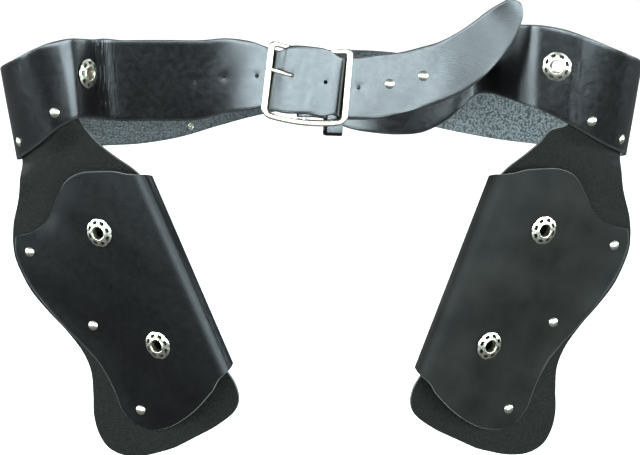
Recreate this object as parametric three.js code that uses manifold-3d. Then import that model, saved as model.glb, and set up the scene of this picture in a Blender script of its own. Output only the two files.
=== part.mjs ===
// A black leather gun belt with two holsters, buckled into its loop.
// Millimetres. X runs to the right as the belt is seen from the front, Y goes away from the
// viewer, Z is up. The origin is the middle of the waist, level with the buckle.

import * as THREE from 'three';
import { mergeVertices } from 'three/addons/utils/BufferGeometryUtils.js';
import Module from 'manifold-3d';

const wasm = await Module();
wasm.setup();

// Leather
const STRAP_T = 2.8;
const SKIRT_T = 2.2;
const CLEAR = 0.35;
const NECK_GAP = 1;
const STRAP_PARTS = 154;
const LEAN = THREE.MathUtils.degToRad(15.5);

// Buckle
const FRAME_W = 66.6;
const FRAME_H = 60;
const FRAME_BAR = 4.9;
const FRAME_DEPTH = 3.2;
const FRAME_CORNER = 5;
const FRAME_BOW = 3.6;
const FRAME_FLARE = 0.018;
const FRAME_PARTS = 34;
const FRAME_ROLL = THREE.MathUtils.degToRad(6);
const FRAME_AT = { x: -9.5, y: -77, z: -1.5 };
const BAR_R = 1.8;
const BAR_BACK = 1;
const PRONG_R = 1.2;
const SLOT_R = 6.1;
const SLOT_H = 9;

// Prong: how far it curls round the bar, then its path square to the frame, from its middle
const PRONG_CURL = [-60, -20, 20, 60, 100, 140, 180];
const PRONG = [
  { at: 'behind the strap', x: -8, y: 0.2, z: 2.2 },
  { at: 'behind the hole', x: -10.7, y: -2.2, z: 4.4 },
  { at: 'out of the hole', x: -11.8, y: -6.6, z: 5.2 },
  { at: 'over the strap', x: -14.4, y: -9.2, z: 5.9 },
  { at: 'over the strap', x: -19, y: -9.9, z: 7.2 },
  { at: 'over the strap', x: -26, y: -7.4, z: 9.2 },
  { at: 'over the bar', x: -32, y: -3.8, z: 10.8 },
];

// Conchos and rivets
const CONCHO_R = 11;
const CONCHO_HOLE_R = 4.6;
const CONCHO_H = 2.6;
const CONCHO_BARREL_R = 5.3;
const CONCHO_RIM_R = 6;
const CONCHO_EDGE = 0.8;
const CONCHO_SCALLOP = 0.04;
const CONCHO_SLOTS = 8;
const SLOT_OUT = 8.3;
const SLOT_LONG = 4;
const SLOT_WIDE = 2.4;
const CAP_R = 3.9;
const CAP_H = 1.5;
const CAP_LIFT = 0.45;
const POST_R = 1.5;
const BURR_R = 3.2;
const BURR_H = 0.9;
const HOLE_R = 1.75;

// Holsters, in the plane of their back panel: u outward from the fold, v down along it
const FOLD_U = 2.5;
const FOLD_R = 8.5;
const SEAM = FOLD_U + FOLD_R + CLEAR;
const EDGE_LIFT = SKIRT_T + CLEAR;

// The strap, one strip from the tip of its tongue to the end turned round the buckle's bar.
// x, y and z are its middle, width is across it, and side and back are how far its upper
// edge lies to the right of and behind its lower edge.
const STRAP = [
  { at: 'tip', x: 150.5, y: -79, z: 61, width: 7.5, side: -5, back: 1 },
  { at: 'tip shoulder', x: 147, y: -80, z: 57, width: 18, side: -11, back: 3 },
  { at: 'tongue', x: 137, y: -81, z: 44, width: 30.5, side: -17, back: 7 },
  { at: 'tongue', x: 125, y: -82, z: 31, width: 37, side: -16, back: 9 },
  { at: 'tongue', x: 112, y: -82, z: 19.5, width: 41.5, side: -13, back: 10.5 },
  { at: 'tongue', x: 95, y: -80.5, z: 9, width: 44.5, side: -7, back: 11.5 },
  { at: 'tongue', x: 77, y: -79, z: 2.5, width: 46.5, side: -2, back: 12.5 },
  { at: 'tongue', x: 60, y: -77.5, z: -2.5, width: 47.5, side: 0, back: 12.5 },
  { at: 'tongue', x: 42, y: -75.5, z: -6, width: 49, side: 0, back: 13 },
  { at: 'right bar', x: 21, y: -74, z: -7, width: 48.5, side: 5, back: 13 },
  { at: 'through the frame', x: 13, y: -79.4, z: -3.7, width: 44.6, side: 5, back: 13 },
  { at: 'over the bar', x: 4, y: -82, z: -0.6, width: 51, side: 4, back: 14 },
  { at: 'over the bar', x: -9, y: -83.4, z: 1.9, width: 51.7, side: 4, back: 14 },
  { at: 'over the bar', x: -24, y: -81.3, z: 1.8, width: 52, side: 4, back: 14 },
  { at: 'through the frame', x: -32.5, y: -77.2, z: -0.4, width: 46.5, side: 5, back: 13 },
  { at: 'left bar', x: -41.5, y: -71.3, z: 0.4, width: 46, side: 5, back: 13 },
  { at: 'front', x: -54, y: -70.5, z: 1.5, width: 53, side: 3, back: 12.5 },
  { at: 'front', x: -72, y: -70, z: 1.5, width: 58, side: 2, back: 9 },
  { at: 'front', x: -93, y: -70, z: -2, width: 62.5, side: 2, back: 5 },
  { at: 'front', x: -114, y: -70, z: -2.5, width: 64, side: 1, back: 4 },
  { at: 'front', x: -135, y: -70, z: -2.5, width: 64, side: 1, back: 4 },
  { at: 'front', x: -152, y: -70.5, z: -2.5, width: 64, side: 0, back: 4 },
  { at: 'left crease', x: -164, y: -74, z: -0.5, width: 64, side: 0, back: 6 },
  { at: 'left crease', x: -171, y: -83, z: 2.5, width: 61.5, side: -1, back: 8.5 },
  { at: 'left lobe', x: -177, y: -96, z: 7, width: 60.5, side: -2, back: 10 },
  { at: 'left lobe', x: -185, y: -106.5, z: 10, width: 60.5, side: -3, back: 10 },
  { at: 'left lobe', x: -198, y: -110, z: 6, width: 64.5, side: -4, back: 7 },
  { at: 'left hip', x: -214, y: -104, z: -5, width: 71, side: -5, back: 3 },
  { at: 'left hip', x: -229, y: -91, z: -17, width: 74.5, side: -6, back: 0 },
  { at: 'left hip', x: -240, y: -74, z: -27, width: 76, side: -7, back: 0 },
  { at: 'left hip', x: -244, y: -56, z: -35, width: 76, side: -6, back: -1 },
  { at: 'left hip', x: -239, y: -38, z: -40, width: 75, side: -4, back: -2 },
  { at: 'left hip', x: -225, y: -24, z: -43, width: 73, side: -1, back: -3 },
  { at: 'back', x: -205, y: -14, z: -45, width: 70, side: 2, back: -3 },
  { at: 'back', x: -183, y: -4, z: -46, width: 68, side: 3, back: -2 },
  { at: 'back', x: -152, y: 15, z: -50.5, width: 68, side: 3, back: -1 },
  { at: 'back', x: -121, y: 35, z: -53, width: 65.5, side: 2, back: -1 },
  { at: 'back', x: -91, y: 53, z: -52, width: 61, side: 2, back: -2 },
  { at: 'back', x: -61, y: 66, z: -49.5, width: 57.5, side: 1, back: -4 },
  { at: 'back', x: -30, y: 73.5, z: -47, width: 55, side: 0, back: -6 },
  { at: 'back', x: 0, y: 76, z: -46.5, width: 56, side: 0, back: -8 },
  { at: 'back', x: 30, y: 76, z: -47, width: 57.5, side: 0, back: -8 },
  { at: 'back', x: 60, y: 71, z: -49, width: 60, side: -1, back: -6 },
  { at: 'back', x: 90, y: 58, z: -51, width: 62, side: -1, back: -3 },
  { at: 'back', x: 120, y: 38, z: -51, width: 62.5, side: -2, back: -1 },
  { at: 'back', x: 152, y: 13, z: -49.5, width: 61, side: -3, back: 0 },
  { at: 'back', x: 184, y: -9, z: -47, width: 59.5, side: -4, back: 0 },
  { at: 'back', x: 208, y: -20, z: -44.5, width: 64.5, side: -3, back: -1 },
  { at: 'right hip', x: 228, y: -29, z: -41, width: 71, side: 1, back: -2 },
  { at: 'right hip', x: 241, y: -42, z: -37, width: 76, side: 4, back: -1 },
  { at: 'right hip', x: 246, y: -58, z: -30.5, width: 76, side: 6, back: 0 },
  { at: 'right hip', x: 241, y: -74, z: -22.2, width: 76.5, side: 6, back: 1 },
  { at: 'right hip', x: 230, y: -88, z: -14, width: 76, side: 5, back: 3 },
  { at: 'right lobe', x: 215, y: -97, z: -5, width: 73.5, side: 5, back: 5 },
  { at: 'right lobe', x: 199, y: -101.5, z: 4, width: 71, side: 3, back: 6 },
  { at: 'right lobe', x: 182, y: -100.5, z: 11.5, width: 68, side: 1, back: 8 },
  { at: 'right lobe', x: 167, y: -92.5, z: 14.5, width: 64, side: -1, back: 10 },
  { at: 'right lobe', x: 154, y: -79, z: 13.5, width: 60, side: -2, back: 11.5 },
  { at: 'right valley', x: 143, y: -64, z: 11.5, width: 56.5, side: -2, back: 11.5 },
  { at: 'right valley', x: 133, y: -52, z: 10, width: 54.5, side: -1, back: 10 },
  { at: 'right valley', x: 123, y: -47.5, z: 7, width: 54, side: -1, back: 8.5 },
  { at: 'right valley', x: 112, y: -52, z: -1, width: 53.5, side: -2, back: 7 },
  { at: 'right front', x: 98, y: -60, z: -11.5, width: 52.5, side: -1, back: 5.5 },
  { at: 'right front', x: 80, y: -66, z: -18.5, width: 53.5, side: -1, back: 4.5 },
  { at: 'right front', x: 62, y: -68, z: -19.5, width: 54, side: -1, back: 4.5 },
  { at: 'right front', x: 44, y: -67.8, z: -18, width: 54, side: 0, back: 8 },
  { at: 'under the right bar', x: 25, y: -68.6, z: -14.5, width: 53.5, side: 0, back: 12.5 },
  { at: 'to the bar', x: 13, y: -71.1, z: -10.9, width: 49, side: 2, back: 13 },
  { at: 'to the bar', x: 4.5, y: -73.5, z: -7.7, width: 47, side: 4, back: 12.5 },
  { at: 'to the bar', x: -2, y: -78.5, z: -4.7, width: 47.5, side: 5, back: 12.5 },
  { at: 'round the bar', x: -9.8, y: -80.8, z: -3.6, width: 48, side: 5, back: 13 },
  { at: 'round the bar', x: -14.3, y: -76.8, z: -4.7, width: 48, side: 5, back: 13 },
  { at: 'round the bar', x: -9.8, y: -72.9, z: -5.7, width: 48, side: 5, back: 13 },
  { at: 'turned end', x: -2, y: -72, z: -6.5, width: 46.5, side: 5, back: 12.5 },
  { at: 'turned end', x: 4.5, y: -69.6, z: -8.8, width: 46.5, side: 4, back: 12.5 },
  { at: 'turned end', x: 13, y: -67.3, z: -12, width: 47.5, side: 2, back: 12.5 },
  { at: 'turned end', x: 25, y: -64.7, z: -15.3, width: 48, side: 0, back: 11.5 },
  { at: 'turned end', x: 38, y: -63.9, z: -17.6, width: 48, side: 0, back: 9 },
];

// What is punched or fastened through the strap: station along it, and height from its middle
const BUCKLE_HOLES = [
  { station: 18.2, up: -1 },
  { station: 17.1, up: -0.5 },
  { station: 15.6, up: 0.4 },
  { station: 12.8, up: 3.2 },
  { station: 11, up: 0.7 },
  { station: 8.55, up: 0.5 },
];
const TONGUE_RIVETS = [
  { name: 'rivet_tongue_a', station: 7.35, up: 1 },
  { name: 'rivet_tongue_b', station: 5.87, up: 1 },
];
const BACK_RIVET = { name: 'rivet_back', station: 36.3, up: -24 };
const CHAPE_RIVETS = [
  { name: 'rivet_chape_upper', up: 13 },
  { name: 'rivet_chape_lower', up: -13 },
];
const CHAPE_STATION = 65.68;
const CHAPE_STACK = 2 * STRAP_T + 1.6;
const BELT_CONCHOS = [
  { name: 'concho_belt_left', station: 23.9, up: 4 },
  { name: 'concho_belt_right', station: 55.25, up: 5 },
];

// The holster's neck where it lies behind the strap: stations of its outer and inner edge,
// and how far it reaches above the strap's lower edge
const SIDES = [
  {
    name: 'left',
    mirror: -1,
    fold: { x: -122.1, y: -131.5, z: -56.7 },
    across: { x: -0.868, y: 0.198, z: -0.455 },
    down: { x: 0.384, y: -0.286, z: -0.862 },
    neck: [
      { outer: 29.6, inner: 25.3, above: 30 },
      { outer: 29.5, inner: 24.9, above: 14 },
      { outer: 29.4, inner: 24.6, above: -1 },
    ],
    rivets: [
      { name: 'rivet_belt_left_a', station: 26.1, above: 13 },
      { name: 'rivet_belt_left_b', station: 28.5, above: 12 },
    ],
  },
  {
    name: 'right',
    mirror: 1,
    fold: { x: 123.7, y: -125.8, z: -58.9 },
    across: { x: 0.885, y: 0.211, z: -0.415 },
    down: { x: -0.352, y: -0.28, z: -0.893 },
    neck: [
      { outer: 51, inner: 54.1, above: 30 },
      { outer: 50.9, inner: 54.3, above: 14 },
      { outer: 50.8, inner: 54.6, above: -1 },
    ],
    rivets: [
      { name: 'rivet_belt_right_a', station: 53.5, above: 12 },
      { name: 'rivet_belt_right_b', station: 51.6, above: 10 },
    ],
  },
];

// Back panel below the strap: outer and inner edge of each section
const PANEL = [
  { at: 'neck', outerU: 110, outerV: -38, innerU: 38, innerV: -49 },
  { at: 'neck', outerU: 119, outerV: -24, innerU: 33, innerV: -37 },
  { at: 'shoulder', outerU: 131, outerV: -9, innerU: 25, innerV: -24 },
  { at: 'shoulder', outerU: 139, outerV: 6, innerU: 16, innerV: -11 },
  { at: 'shoulder', outerU: 142, outerV: 16, innerU: SEAM, innerV: 1 },
  { at: 'body', outerU: 142.5, outerV: 28, innerU: SEAM, innerV: 15 },
  { at: 'body', outerU: 141, outerV: 45, innerU: SEAM, innerV: 36 },
  { at: 'body', outerU: 135, outerV: 64, innerU: SEAM, innerV: 60 },
  { at: 'body', outerU: 126, outerV: 86, innerU: SEAM, innerV: 84 },
  { at: 'body', outerU: 120.5, outerV: 106, innerU: SEAM, innerV: 106 },
  { at: 'waist', outerU: 120.5, outerV: 122, innerU: SEAM, innerV: 124 },
  { at: 'toe', outerU: 127, outerV: 140, innerU: SEAM, innerV: 142 },
  { at: 'toe', outerU: 134.5, outerV: 157, innerU: SEAM, innerV: 158 },
  { at: 'toe', outerU: 137, outerV: 172, innerU: 9, innerV: 172 },
  { at: 'toe', outerU: 134.5, outerV: 185, innerU: 11, innerV: 183 },
  { at: 'toe', outerU: 125, outerV: 195, innerU: 18, innerV: 191 },
  { at: 'toe end', outerU: 109, outerV: 201, innerU: 37, innerV: 197.5 },
  { at: 'toe end', outerU: 89, outerV: 203, innerU: 61, innerV: 201 },
];

// Pouch: its riveted outer edge from mouth to foot, and how far its mouth rises and its foot
// drops from the straight line across
const POUCH_LENGTH = 155;
const POUCH_WIDTH = 130;
const POUCH_EDGE = [
  { u: 132.5, v: 1 },
  { u: 138.5, v: 14 },
  { u: 138.5, v: 38 },
  { u: 133, v: 60 },
  { u: 124, v: 84 },
  { u: 114.5, v: 105 },
  { u: 109, v: 122 },
  { u: 107, v: 142 },
  { u: 107.5, v: 160 },
  { u: 102.5, v: 174 },
];
const MOUTH_RISE = [
  { across: 0, rise: 8 },
  { across: 0.1, rise: 15 },
  { across: 0.2, rise: 20 },
  { across: 0.32, rise: 24.5 },
  { across: 0.45, rise: 23.5 },
  { across: 0.58, rise: 14 },
  { across: 0.7, rise: 3 },
  { across: 0.85, rise: -2 },
  { across: 1, rise: 0 },
];
const FOOT_DROP = [
  { across: 0, drop: 6 },
  { across: 0.1, drop: 11 },
  { across: 0.3, drop: 16 },
  { across: 0.5, drop: 18 },
  { across: 0.7, drop: 17 },
  { across: 0.88, drop: 11 },
  { across: 1, drop: 0 },
];
const POUCH_FALL = 1.3;
const POUCH_FLAT = 0.93;
const POUCH_RIVETS = [
  { name: 'rivet_edge_top', u: 125.5, v: 16.5 },
  { name: 'rivet_edge_middle', u: 99.4, v: 89 },
  { name: 'rivet_edge_foot', u: 91, v: 165 },
];
const POUCH_CONCHOS = [
  { name: 'upper', u: 55.5, v: 23.5 },
  { name: 'lower', u: 48.5, v: 120.5 },
];

// Keeper hung round the two layers of the turned end, its place and inner size
const KEEPER = { x: 11.3, y: -70.8, z: -15, long: 13, deep: 8.6, tall: 58.7, wall: 1.2 };
const KEEPER_YAW = THREE.MathUtils.degToRad(17.5);
const KEEPER_ROLL = THREE.MathUtils.degToRad(3);

const LEATHER = { color: 0x1a1819, roughness: 0.42, metalness: 0 };
const ROUGH_LEATHER = { color: 0x2b2c2a, roughness: 0.75, metalness: 0 };
const NICKEL = { color: 0xd6d3c6, roughness: 0.2, metalness: 1 };

const vec = (p) => new THREE.Vector3(p.x, p.y, p.z);

// A value from a table's column at a place between its rows, through a smooth curve
function blend(rows, column, place) {
  const last = rows.length - 1;
  const i = Math.min(Math.max(Math.floor(place), 0), last - 1);
  const f = place - i;
  const value = (k) => rows[Math.min(Math.max(k, 0), last)][column];
  const [a, b, c, d] = [value(i - 1), value(i), value(i + 1), value(i + 2)];
  return b + 0.5 * f * (c - a + f * (2 * a - 5 * b + 4 * c - d + f * (3 * (b - c) + d - a)));
}

// A value from a table that is indexed by its own column
function lookUp(rows, key, column, x) {
  let i = 0;
  while (i < rows.length - 2 && rows[i + 1][key] < x) i += 1;
  const f = (x - rows[i][key]) / (rows[i + 1][key] - rows[i][key]);
  return blend(rows, column, i + f);
}

function toSolid(geometry) {
  const bare = geometry.index ? geometry.clone() : geometry;
  bare.deleteAttribute('normal');
  bare.deleteAttribute('uv');
  const welded = mergeVertices(bare, 1e-4);
  const mesh = new wasm.Mesh({
    numProp: 3,
    vertProperties: new Float32Array(welded.attributes.position.array),
    triVerts: new Uint32Array(welded.index.array),
  });
  return new wasm.Manifold(mesh);
}

function toGeometry(solid) {
  const mesh = solid.getMesh();
  const geometry = new THREE.BufferGeometry();
  geometry.setAttribute('position', new THREE.BufferAttribute(new Float32Array(mesh.vertProperties), 3));
  geometry.setIndex(Array.from(mesh.triVerts));
  return geometry;
}

function cutBy(geometry, cutters) {
  let solid = toSolid(geometry);
  for (const cutter of cutters) solid = solid.subtract(toSolid(cutter));
  return toGeometry(solid);
}

// Unit normal of surface(a, b) by small steps
function normalOf(surface, a, b) {
  const e = 1e-3;
  const p = surface(Math.max(a - e, 0), b);
  const q = surface(Math.min(a + e, 1), b);
  const r = surface(a, Math.max(b - e, 0));
  const s = surface(a, Math.min(b + e, 1));
  return q.sub(p).cross(s.sub(r)).normalize();
}

// A closed sheet of the given thickness with surface(a, b) in its middle, a and b from 0 to 1
function sheet(surface, stepsA, stepsB, thickness) {
  const positions = [];
  for (const side of [0.5, -0.5]) {
    for (let i = 0; i <= stepsA; i += 1) {
      for (let j = 0; j <= stepsB; j += 1) {
        const [a, b] = [i / stepsA, j / stepsB];
        const p = surface(a, b).addScaledVector(normalOf(surface, a, b), side * thickness);
        positions.push(p.x, p.y, p.z);
      }
    }
  }
  const row = stepsB + 1;
  const layer = row * (stepsA + 1);
  const faces = [];
  const quad = (a, b, c, d) => faces.push(a, b, c, a, c, d);
  for (let i = 0; i < stepsA; i += 1) {
    for (let j = 0; j < stepsB; j += 1) {
      const k = i * row + j;
      quad(k, k + row, k + row + 1, k + 1);
      quad(layer + k, layer + k + 1, layer + k + row + 1, layer + k + row);
    }
  }
  for (let i = 0; i < stepsA; i += 1) {
    const low = i * row;
    const high = low + stepsB;
    quad(low, layer + low, layer + low + row, low + row);
    quad(high, high + row, layer + high + row, layer + high);
  }
  for (let j = 0; j < stepsB; j += 1) {
    const start = j;
    const end = stepsA * row + j;
    quad(start, start + 1, layer + start + 1, layer + start);
    quad(end, layer + end, layer + end + 1, end + 1);
  }
  const geometry = new THREE.BufferGeometry();
  geometry.setAttribute('position', new THREE.BufferAttribute(new Float32Array(positions), 3));
  geometry.setIndex(faces);
  return geometry;
}

// The strap's middle surface: station along it, height from its middle, offset outward
const strapCurve = new THREE.CatmullRomCurve3(STRAP.map(vec), false, 'centripetal');
const STRAP_LAST = STRAP.length - 1;

function strapMiddle(station, up) {
  const centre = strapCurve.getPoint(Math.min(Math.max(station / STRAP_LAST, 0), 1));
  const width = blend(STRAP, 'width', station);
  const side = blend(STRAP, 'side', station);
  const back = blend(STRAP, 'back', station);
  const rise = Math.sqrt(width * width - side * side - back * back);
  return centre.addScaledVector(new THREE.Vector3(side, back, rise), up / width);
}

function strapPlace(station, up, offset = 0) {
  const e = 0.02;
  const along = strapMiddle(station + e, up).sub(strapMiddle(station - e, up));
  const across = strapMiddle(station, up + 1).sub(strapMiddle(station, up - 1));
  const outward = across.cross(along).normalize();
  return { point: strapMiddle(station, up).addScaledVector(outward, offset), outward };
}

const strapHalf = (station) => blend(STRAP, 'width', station) / 2;

// A turned body or cutter stood on a place, its own Z along the place's outward direction
function stand(geometry, place) {
  const turn = new THREE.Quaternion().setFromUnitVectors(new THREE.Vector3(0, 0, 1), place.outward);
  return geometry.clone().applyQuaternion(turn).translate(place.point.x, place.point.y, place.point.z);
}

function turned(profile, segments) {
  const points = profile.map(([r, z]) => new THREE.Vector2(r, z));
  return new THREE.LatheGeometry(points, segments).rotateX(Math.PI / 2);
}

const pin = (radius, length, segments) => new THREE.CylinderGeometry(radius, radius, length, segments).rotateX(Math.PI / 2);

// A rivet whose cap sits on the face at z 0 and whose burr sits below a stack of leather
function rivetGeometry(stack) {
  const under = -(stack + CLEAR);
  return turned([
    [0, under - BURR_H],
    [BURR_R, under],
    [POST_R, under],
    [POST_R, CLEAR],
    [CAP_R, CLEAR],
    [CAP_R * 0.8, CLEAR + CAP_H * 0.8],
    [0, CLEAR + CAP_H],
  ], 8);
}

// A domed, scalloped concho with its slots cut through and its barrel through the leather
function conchoGeometry(stack) {
  const under = -(stack + CLEAR);
  const geometry = turned([
    [CONCHO_HOLE_R, CONCHO_H],
    [CONCHO_HOLE_R, under],
    [CONCHO_BARREL_R, under],
    [CONCHO_BARREL_R, CLEAR + CONCHO_EDGE],
    [CONCHO_R, CLEAR],
    [CONCHO_R, CLEAR + CONCHO_EDGE],
    [CONCHO_RIM_R, CONCHO_H],
    [CONCHO_HOLE_R, CONCHO_H],
  ], CONCHO_SLOTS * 2);
  const position = geometry.attributes.position;
  for (let i = 0; i < position.count; i += 1) {
    const [x, y] = [position.getX(i), position.getY(i)];
    if (Math.hypot(x, y) < CONCHO_R * 0.95) continue;
    const wave = 1 - CONCHO_SCALLOP * (1 - Math.cos(CONCHO_SLOTS * Math.atan2(x, y))) / 2;
    position.setXY(i, x * wave, y * wave);
  }
  const cutters = [];
  for (let i = 0; i < CONCHO_SLOTS; i += 1) {
    const cutter = new THREE.BoxGeometry(SLOT_LONG, SLOT_WIDE, 2 * CONCHO_H).translate(0, SLOT_OUT, CONCHO_H);
    cutters.push(cutter.rotateZ((i * 2 * Math.PI) / CONCHO_SLOTS));
  }
  return cutBy(geometry, cutters);
}

// Holster surfaces for one side, lift measured outward from the back panel's middle
function holsterPlace(side, u, v, lift = 0) {
  const outward = vec(side.across).cross(vec(side.down)).multiplyScalar(-side.mirror).normalize();
  const point = vec(side.fold)
    .addScaledVector(vec(side.across), u)
    .addScaledVector(vec(side.down), v)
    .addScaledVector(outward, lift);
  return { point, outward };
}

function neckPoint(side, row, across) {
  const inside = -(STRAP_T / 2 + NECK_GAP + SKIRT_T / 2);
  const station = THREE.MathUtils.lerp(row.outer, row.inner, across);
  return strapPlace(station, row.above - strapHalf(station), inside).point;
}

function panelRows(side) {
  const hidden = side.neck.map((row) => (across) => neckPoint(side, row, across));
  const shown = PANEL.map((row) => (across) => {
    const u = THREE.MathUtils.lerp(row.outerU, row.innerU, across);
    const v = THREE.MathUtils.lerp(row.outerV, row.innerV, across);
    return holsterPlace(side, u, v).point;
  });
  return [...hidden, ...shown];
}

function panelSurface(side) {
  const rows = panelRows(side);
  return (down, across) => {
    const points = rows.map((row) => row(across));
    return new THREE.CatmullRomCurve3(points, false, 'centripetal').getPoint(down);
  };
}

// Where the pouch's front lies at a place across it, from its fold to its riveted edge
function pouchLift(across) {
  const share = Math.cos((Math.PI / 2) * Math.min(Math.max(across, 0) / POUCH_FLAT, 1) ** POUCH_FALL) ** 2;
  return EDGE_LIFT + (2 * FOLD_R - EDGE_LIFT) * share;
}

function pouchFront(down, across) {
  const edge = down * (POUCH_EDGE.length - 1);
  const [edgeU, edgeV] = [blend(POUCH_EDGE, 'u', edge), blend(POUCH_EDGE, 'v', edge)];
  const foldV = POUCH_LENGTH * down;
  const rise = lookUp(MOUTH_RISE, 'across', 'rise', across) * (1 - down) ** 3;
  const drop = lookUp(FOOT_DROP, 'across', 'drop', across) * down ** 3;
  return {
    u: THREE.MathUtils.lerp(FOLD_U + FOLD_R, edgeU, across),
    v: THREE.MathUtils.lerp(foldV, edgeV, across) - rise + drop,
  };
}

const PANEL_PARTS = 23;
const POUCH_PARTS = 9;
const FOLD_STEPS = 5;
const FRONT_STEPS = 7;
const SEARCH_STEPS = 30;

function pouchSurface(side) {
  return (down, around) => {
    const step = around * (FOLD_STEPS + FRONT_STEPS);
    if (step < FOLD_STEPS) {
      const angle = (Math.PI * step) / FOLD_STEPS;
      const u = FOLD_U + FOLD_R - FOLD_R * Math.sin(angle);
      const lift = FOLD_R - FOLD_R * Math.cos(angle);
      const share = (step / FOLD_STEPS) ** 2;
      const rise = share * MOUTH_RISE[0].rise * (1 - down) ** 3;
      const drop = share * FOOT_DROP[0].drop * down ** 3;
      return holsterPlace(side, u, POUCH_LENGTH * down - rise + drop, lift).point;
    }
    const across = (step - FOLD_STEPS) / FRONT_STEPS;
    const place = pouchFront(down, across);
    return holsterPlace(side, place.u, place.v, pouchLift(across)).point;
  };
}

// The place on the pouch's face over a point of the back panel
function pouchPlace(side, u, v) {
  let [down, across] = [v / POUCH_LENGTH, u / POUCH_WIDTH];
  for (let i = 0; i < SEARCH_STEPS; i += 1) {
    const here = pouchFront(down, across);
    down = THREE.MathUtils.clamp(down + (v - here.v) / POUCH_LENGTH, 0, 1);
    across = THREE.MathUtils.clamp(across + (u - here.u) / POUCH_WIDTH, 0, 1);
  }
  const surface = pouchSurface(side);
  const around = (FOLD_STEPS + across * FRONT_STEPS) / (FOLD_STEPS + FRONT_STEPS);
  const outward = normalOf(surface, down, around);
  const facing = holsterPlace(side, u, v).outward;
  if (outward.dot(facing) < 0) outward.negate();
  return { point: surface(down, around).addScaledVector(outward, SKIRT_T / 2), outward, lift: pouchLift(across) };
}

// Something built square to the buckle, leaned back with it and put in its place
const leaned = (geometry, at) => geometry.rotateX(-LEAN).translate(at.x, at.y, at.z);

// The buckle's frame: a rounded square loop of bar, bowed a little, and its middle bar
function frameGeometry() {
  const halfW = (FRAME_W - FRAME_BAR) / 2;
  const halfH = (FRAME_H - FRAME_BAR) / 2;
  const outline = new THREE.Shape();
  outline.absarc(halfW - FRAME_CORNER, halfH - FRAME_CORNER, FRAME_CORNER, 0, Math.PI / 2);
  outline.absarc(-halfW + FRAME_CORNER, halfH - FRAME_CORNER, FRAME_CORNER, Math.PI / 2, Math.PI);
  outline.absarc(-halfW + FRAME_CORNER, -halfH + FRAME_CORNER, FRAME_CORNER, Math.PI, Math.PI * 1.5);
  outline.absarc(halfW - FRAME_CORNER, -halfH + FRAME_CORNER, FRAME_CORNER, -Math.PI / 2, 0);
  outline.closePath();
  const path = outline.getSpacedPoints(FRAME_PARTS).slice(0, -1);
  const sides = 8;
  const positions = [];
  for (let i = 0; i < path.length; i += 1) {
    const [before, here, after] = [path.at(i - 1), path[i], path[(i + 1) % path.length]];
    const out = new THREE.Vector2(after.y - before.y, before.x - after.x).normalize();
    for (let j = 0; j < sides; j += 1) {
      const angle = (2 * Math.PI * j) / sides;
      const reach = (FRAME_BAR / 2) * Math.cos(angle);
      positions.push(here.x + out.x * reach, (FRAME_DEPTH / 2) * Math.sin(angle), here.y + out.y * reach);
    }
  }
  const faces = [];
  for (let i = 0; i < path.length; i += 1) {
    for (let j = 0; j < sides; j += 1) {
      const [a, b] = [i * sides + j, i * sides + ((j + 1) % sides)];
      const next = ((i + 1) % path.length) * sides;
      const [c, d] = [next + ((j + 1) % sides), next + j];
      faces.push(a, b, c, a, c, d);
    }
  }
  const loop = new THREE.BufferGeometry();
  loop.setAttribute('position', new THREE.BufferAttribute(new Float32Array(positions), 3));
  loop.setIndex(faces);
  const bar = pin(BAR_R, 2 * halfH, 12).translate(0, BAR_BACK, 0);
  const joined = toGeometry(toSolid(loop).add(toSolid(bar)));
  const position = joined.attributes.position;
  for (let i = 0; i < position.count; i += 1) {
    const x = position.getX(i) / halfW;
    const fall = FRAME_BOW * (1 - Math.min(x * x, 1));
    const share = Math.min(Math.abs(position.getZ(i)) / halfH, 1);
    const flare = 1 - (FRAME_FLARE * position.getZ(i)) / halfH;
    position.setX(i, position.getX(i) * flare);
    position.setZ(i, position.getZ(i) - fall * share);
  }
  return leaned(joined.rotateY(FRAME_ROLL), FRAME_AT);
}

// The prong, curled round the middle bar and laid over the left one
function prongGeometry() {
  const curl = BAR_R + PRONG_R + CLEAR;
  const round = PRONG_CURL.map((degrees) => {
    const a = THREE.MathUtils.degToRad(degrees);
    return new THREE.Vector3(curl * Math.cos(a), BAR_BACK + curl * Math.sin(a), 0);
  });
  const path = new THREE.CatmullRomCurve3([...round, ...PRONG.map(vec)], false, 'centripetal');
  const section = new THREE.Shape();
  section.absarc(0, 0, PRONG_R, 0, 2 * Math.PI);
  const shape = { extrudePath: path, steps: 22, bevelEnabled: false, curveSegments: 4 };
  return leaned(new THREE.ExtrudeGeometry(section, shape), FRAME_AT);
}

function keeperGeometry() {
  const { long, deep, tall, wall } = KEEPER;
  const outer = new THREE.BoxGeometry(long, deep + 2 * wall, tall + 2 * wall);
  const ring = cutBy(outer, [new THREE.BoxGeometry(2 * long, deep, tall)]);
  return leaned(ring.rotateZ(KEEPER_YAW).rotateY(KEEPER_ROLL), KEEPER);
}

const belt = new THREE.Group();

function addMesh(name, geometry, look) {
  const mesh = new THREE.Mesh(geometry, new THREE.MeshStandardMaterial(look));
  mesh.name = name;
  geometry.computeVertexNormals();
  belt.add(mesh);
}

// Strap with everything that is punched through it
const HOLE_PIN = 6;
const LEATHER_PIN = 10;
const CHAPE_PIN = 14;
const postPin = (length) => pin(POST_R + CLEAR, length, 6);
const beltRivets = SIDES.flatMap((side) => side.rivets);
const edgePlace = (rivet, offset) => strapPlace(rivet.station, rivet.above - strapHalf(rivet.station), offset);
const barrelPin = () => pin(CONCHO_BARREL_R + CLEAR, LEATHER_PIN, 12);
const slotDisc = new THREE.CylinderGeometry(SLOT_R, SLOT_R, SLOT_H, 20).rotateX(Math.PI / 2);

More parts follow.
